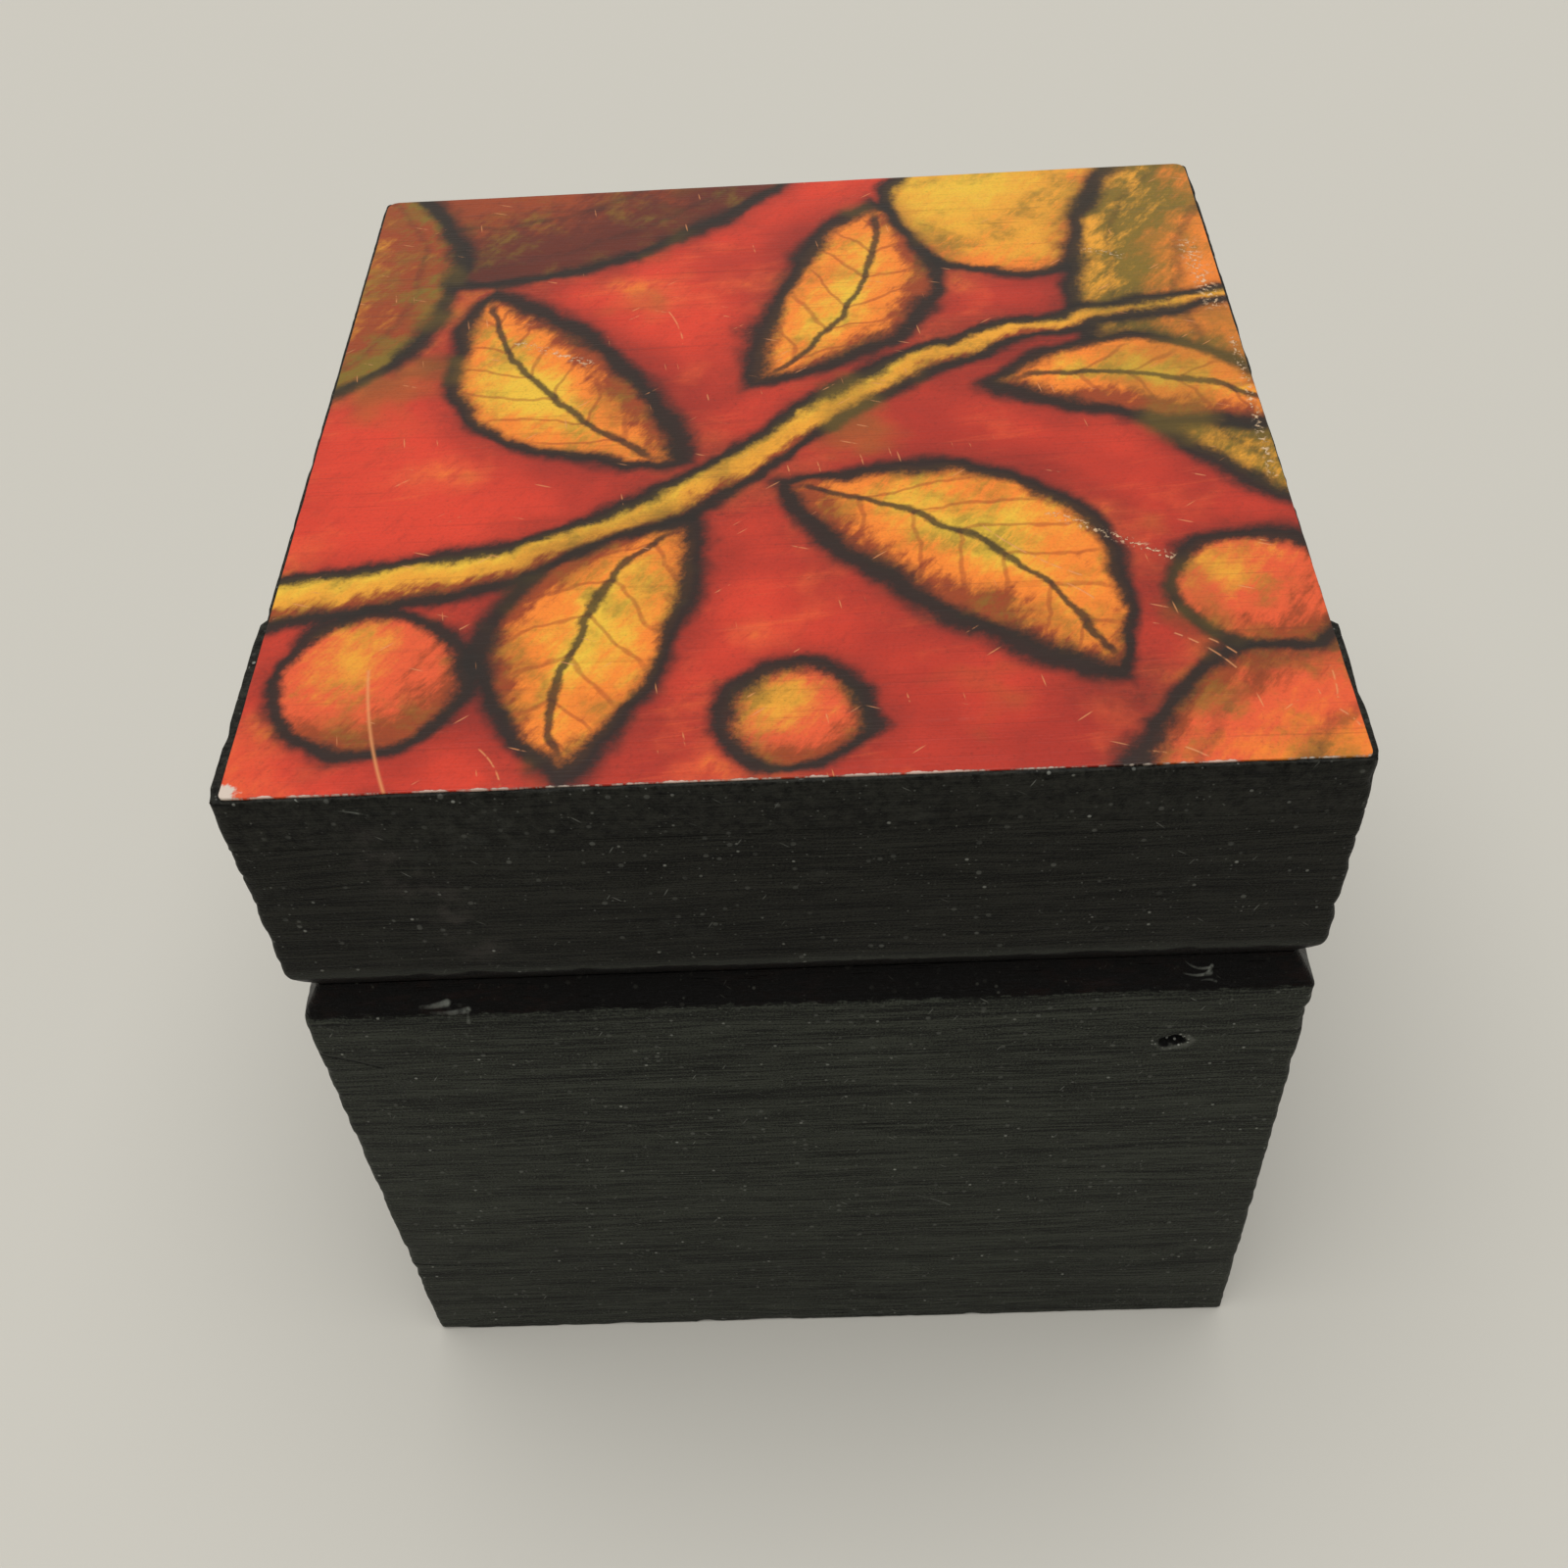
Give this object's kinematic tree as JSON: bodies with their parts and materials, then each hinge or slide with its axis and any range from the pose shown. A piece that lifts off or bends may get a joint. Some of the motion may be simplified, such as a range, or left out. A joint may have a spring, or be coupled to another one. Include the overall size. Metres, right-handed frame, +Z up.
{
  "type": "trinket box",
  "caption": "Cube-shaped wooden trinket box painted black, with a hinged lid, a V groove round the parting line and a picture pasted on the lid.",
  "frame": {"origin": "on the underside, below the middle of the box", "axes": "+Z up through the lid, +X to the right seen from the front, +Y towards the hinges at the back"},
  "size_m": [0.1, 0.1009, 0.1018],
  "materials": {
    "black_painted_wood": "brushed satin black paint over coarse open grain, worn and dusty",
    "printed_paper": "satin varnished print in reds, oranges and dark browns",
    "hinge_brass": "dull brass",
    "screw_brass": "dull brass, slotted heads"
  },
  "bodies": {
    "base": {"base_front_board": "black_painted_wood", "base_back_board": "black_painted_wood", "base_left_board": "black_painted_wood", "base_right_board": "black_painted_wood", "bottom_board": "black_painted_wood", "left_hinge_base_leaf": "hinge_brass", "right_hinge_base_leaf": "hinge_brass", "left_hinge_pin": "hinge_brass", "right_hinge_pin": "hinge_brass", "left_hinge_base_screws": "screw_brass", "right_hinge_base_screws": "screw_brass"},
    "lid": {"lid_top_board": "black_painted_wood", "lid_front_board": "black_painted_wood", "lid_back_board": "black_painted_wood", "lid_left_board": "black_painted_wood", "lid_right_board": "black_painted_wood", "print_sheet": "printed_paper", "left_hinge_lid_leaf": "hinge_brass", "right_hinge_lid_leaf": "hinge_brass", "left_hinge_lid_screws": "screw_brass", "right_hinge_lid_screws": "screw_brass"}
  },
  "joints": [
    {"name": "lid_hinge", "type": "hinge", "parent": "base", "child": "lid", "pos_m": [0, 0.0497, 0.0725], "axis": [-1, 0, 0], "range_deg": [0, 165]}
  ]
}
